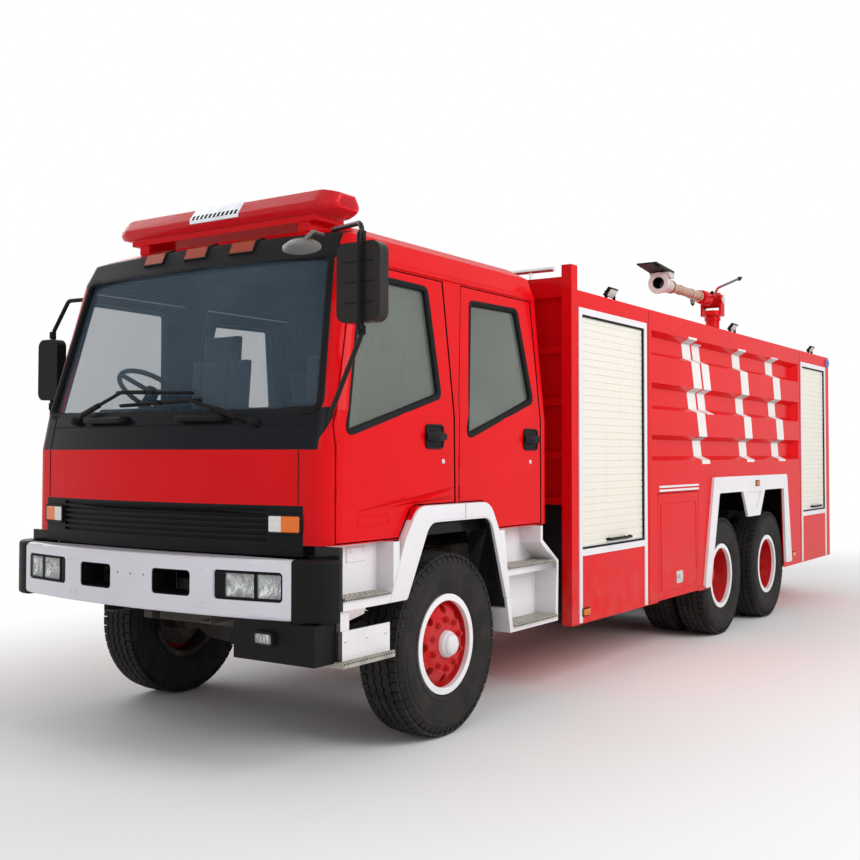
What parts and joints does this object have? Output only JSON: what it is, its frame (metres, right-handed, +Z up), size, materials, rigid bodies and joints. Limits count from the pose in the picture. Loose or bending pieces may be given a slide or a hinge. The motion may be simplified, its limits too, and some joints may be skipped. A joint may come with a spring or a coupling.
{
  "type": "six-by-four crew-cab water-tank fire truck",
  "caption": "Forest fire truck: crew cab with opening doors, steered front wheels, twin rear axles, ribbed water-tank body with roller-shutter lockers and a roof water monitor.",
  "frame": {"origin": "middle of the truck's footprint, on the road", "axes": "+X forward, +Y to the truck's left, +Z up"},
  "size_m": [9.3998, 2.97, 3.7529],
  "materials": {
    "red_paint": "gloss body paint",
    "white_paint": "gloss paint",
    "shutter": "coated aluminium slats",
    "black_plastic": "grained moulding",
    "chassis_black": "satin chassis paint",
    "glass": "tinted glass",
    "lamp_glass": "clear lamp glass",
    "amber": "lens",
    "red_lens": "lens",
    "tyre": "road tyre",
    "tread_plate": "chequered plate",
    "trim_metal": "brushed tube",
    "seat": "woven cover",
    "cast": "rough casting"
  },
  "bodies": {
    "chassis": {"amber_lamps": "amber", "arch_trims": "white_paint", "axles": "cast", "bumper": "white_paint", "bumper_ends": "black_plastic", "cab_shell": "red_paint", "cowl_panel": "black_plastic", "dashboard": "black_plastic", "drive_line": "cast", "fenders": "white_paint", "frame": "chassis_black", "front_locker": "red_paint", "front_panel": "red_paint", "grille": "black_plastic", "headlamps": "lamp_glass", "ladder_and_rail": "trim_metal", "light_bar_base": "red_paint", "light_bar_lens": "red_lens", "mirror_left": "black_plastic", "monitor_base": "red_paint", "rear_locker": "red_paint", "roller_shutters": "shutter", "roof_visor": "black_plastic", "seats": "seat", "shutter_frames": "white_paint", "springs": "chassis_black", "steering_wheel": "black_plastic", "step_treads": "tread_plate", "tail_lamps": "red_lens", "tank_body": "red_paint", "windscreen": "glass", "work_lights": "black_plastic"},
    "knuckle_left": {"knuckle_left": "cast"},
    "front_wheel_left": {"wheel_front_left": "red_paint", "tyre_front_left": "tyre"},
    "middle_wheels_left": {"wheel_middle_left": "red_paint", "tyres_middle_left": "tyre"},
    "rear_wheels_left": {"wheel_rear_left": "red_paint", "tyres_rear_left": "tyre"},
    "front_door_left": {"door_front_left": "red_paint", "glass_front_left": "glass"},
    "rear_door_left": {"door_rear_left": "red_paint", "glass_rear_left": "glass"},
    "side_hatch_left": {"hatch_left": "red_paint"},
    "knuckle_right": {"knuckle_right": "cast"},
    "front_wheel_right": {"wheel_front_right": "red_paint", "tyre_front_right": "tyre"},
    "middle_wheels_right": {"wheel_middle_right": "red_paint", "tyres_middle_right": "tyre"},
    "rear_wheels_right": {"wheel_rear_right": "red_paint", "tyres_rear_right": "tyre"},
    "front_door_right": {"door_front_right": "red_paint", "glass_front_right": "glass", "mirror_right": "black_plastic"},
    "rear_door_right": {"door_rear_right": "red_paint", "glass_rear_right": "glass"},
    "side_hatch_right": {"hatch_right": "red_paint"},
    "swivel": {"monitor_swivel": "red_paint"},
    "barrel": {"monitor_barrel": "red_paint"}
  },
  "joints": [
    {"name": "steer_left", "type": "hinge", "parent": "chassis", "child": "knuckle_left", "pos_m": [3.39, 0.9, 0.52], "axis": [0, 0, 1], "range_deg": [-35, 35]},
    {"name": "spin_front_left", "type": "hinge", "parent": "knuckle_left", "child": "front_wheel_left", "pos_m": [3.39, 1.04, 0.52], "axis": [0, 1, 0], "continuous": true},
    {"name": "spin_middle_left", "type": "hinge", "parent": "chassis", "child": "middle_wheels_left", "pos_m": [-1.03, 1.092, 0.52], "axis": [0, 1, 0], "continuous": true},
    {"name": "spin_rear_left", "type": "hinge", "parent": "chassis", "child": "rear_wheels_left", "pos_m": [-2.35, 1.092, 0.52], "axis": [0, 1, 0], "continuous": true},
    {"name": "open_front_door_left", "type": "hinge", "parent": "chassis", "child": "front_door_left", "pos_m": [4.382, 1.146, 1.5], "axis": [0, 0, -1], "range_deg": [0, 70]},
    {"name": "open_rear_door_left", "type": "hinge", "parent": "chassis", "child": "rear_door_left", "pos_m": [3.248, 1.152, 1.5], "axis": [0, 0, -1], "range_deg": [0, 70]},
    {"name": "lift_hatch_left", "type": "hinge", "parent": "chassis", "child": "side_hatch_left", "pos_m": [0.0825, 1.25, 1.285], "axis": [1, 0, 0], "range_deg": [0, 85]},
    {"name": "steer_right", "type": "hinge", "parent": "chassis", "child": "knuckle_right", "pos_m": [3.39, -0.9, 0.52], "axis": [0, 0, 1], "range_deg": [-35, 35]},
    {"name": "spin_front_right", "type": "hinge", "parent": "knuckle_right", "child": "front_wheel_right", "pos_m": [3.39, -1.04, 0.52], "axis": [0, 1, 0], "continuous": true},
    {"name": "spin_middle_right", "type": "hinge", "parent": "chassis", "child": "middle_wheels_right", "pos_m": [-1.03, -1.092, 0.52], "axis": [0, 1, 0], "continuous": true},
    {"name": "spin_rear_right", "type": "hinge", "parent": "chassis", "child": "rear_wheels_right", "pos_m": [-2.35, -1.092, 0.52], "axis": [0, 1, 0], "continuous": true},
    {"name": "open_front_door_right", "type": "hinge", "parent": "chassis", "child": "front_door_right", "pos_m": [4.382, -1.146, 1.5], "axis": [0, 0, 1], "range_deg": [0, 70]},
    {"name": "open_rear_door_right", "type": "hinge", "parent": "chassis", "child": "rear_door_right", "pos_m": [3.248, -1.152, 1.5], "axis": [0, 0, 1], "range_deg": [0, 70]},
    {"name": "lift_hatch_right", "type": "hinge", "parent": "chassis", "child": "side_hatch_right", "pos_m": [0.0825, -1.25, 1.285], "axis": [-1, 0, 0], "range_deg": [0, 85]},
    {"name": "turn_monitor", "type": "hinge", "parent": "chassis", "child": "swivel", "pos_m": [-4.23, 0, 3.25], "axis": [0, 0, 1], "range_deg": [-170, 170]},
    {"name": "raise_monitor", "type": "hinge", "parent": "swivel", "child": "barrel", "pos_m": [-4.23, 0, 3.44], "axis": [0, -1, 0], "range_deg": [-10, 70]}
  ],
  "couplings": [
    {"joint": "steer_right", "follows": "steer_left", "ratio": 1}
  ]
}
